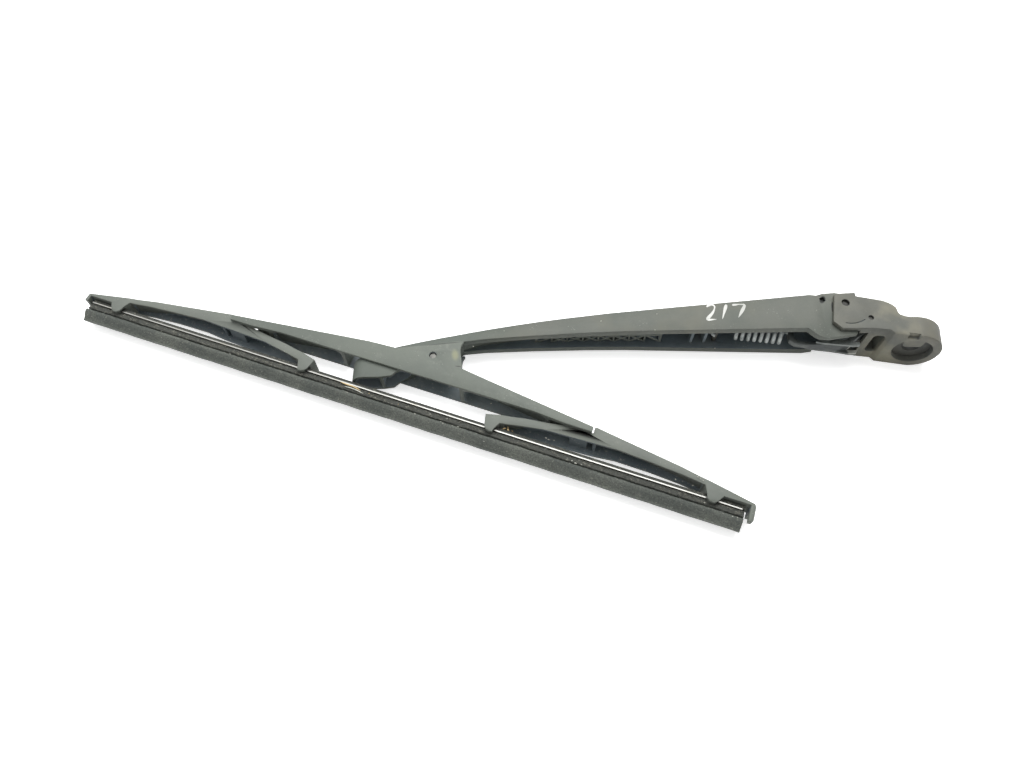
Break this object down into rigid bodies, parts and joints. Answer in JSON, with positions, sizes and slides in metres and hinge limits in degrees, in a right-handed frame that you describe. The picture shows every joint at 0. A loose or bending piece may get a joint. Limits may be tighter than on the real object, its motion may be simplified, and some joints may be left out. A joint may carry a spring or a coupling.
{
  "type": "rear wiper arm with blade",
  "caption": "Rear wiper: moulded arm with a hinged head and tension spring, carrying a wiper blade with a primary yoke, secondary yokes, steel rails and a rubber.",
  "frame": {"origin": "centre of the round opening under the head, on the spindle axis, at the head's underside", "axes": "+Y along the spindle away from the glass, -X from the head along the arm, +Z to the side that faces up as the wiper lies"},
  "size_m": [0.4157, 0.1249, 0.0258],
  "materials": {
    "moulded_plastic": "weathered matte moulding, dusty grey",
    "yoke_plastic": "weathered matte moulding, dusty grey",
    "pin_steel": "dull dark steel",
    "spring_steel": "dull zinc coated wire with dust",
    "link_steel": "dark coated strip",
    "rail_steel": "bright drawn strip",
    "wiper_rubber": "matte dark rubber, dusty"
  },
  "bodies": {
    "head": {"arm_head": "moulded_plastic", "hinge_pin": "pin_steel", "link_pin": "pin_steel"},
    "arm": {"arm_beam": "moulded_plastic", "anchor_pin": "pin_steel", "tension_spring": "spring_steel"},
    "link": {"spring_link": "link_steel"},
    "blade": {"primary_yoke": "yoke_plastic", "blade_pivot_pin": "pin_steel", "left_yoke_pin": "pin_steel", "right_yoke_pin": "pin_steel", "rail_near": "rail_steel", "rail_far": "rail_steel", "wiper_rubber": "wiper_rubber"},
    "yoke_left": {"left_yoke": "yoke_plastic"},
    "yoke_right": {"right_yoke": "yoke_plastic"}
  },
  "joints": [
    {"name": "arm_hinge", "type": "hinge", "parent": "head", "child": "arm", "pos_m": [-0.035, 0.0143, 0], "axis": [0, 0, -1], "range_deg": [0, 70], "deforming": ["tension_spring"]},
    {"name": "link_pivot", "type": "hinge", "parent": "head", "child": "link", "pos_m": [-0.0236, 0.0073, 0], "axis": [0, 0, -1], "range_deg": [0, 60]},
    {"name": "blade_pivot", "type": "hinge", "parent": "arm", "child": "blade", "pos_m": [-0.22506, -0.04243, 0], "axis": [0, 0, 1], "range_deg": [0, 30]},
    {"name": "left_yoke_pivot", "type": "hinge", "parent": "blade", "child": "yoke_left", "pos_m": [-0.32105, -0.03691, 0], "axis": [0, 0, 1], "range_deg": [-5, 5], "deforming": ["wiper_rubber", "rail_near"]},
    {"name": "right_yoke_pivot", "type": "hinge", "parent": "blade", "child": "yoke_right", "pos_m": [-0.15187, -0.06796, 0], "axis": [0, 0, 1], "range_deg": [-5, 5], "deforming": ["rail_far"]}
  ],
  "couplings": [
    {"joint": "link_pivot", "follows": "arm_hinge", "ratio": 0.83}
  ]
}
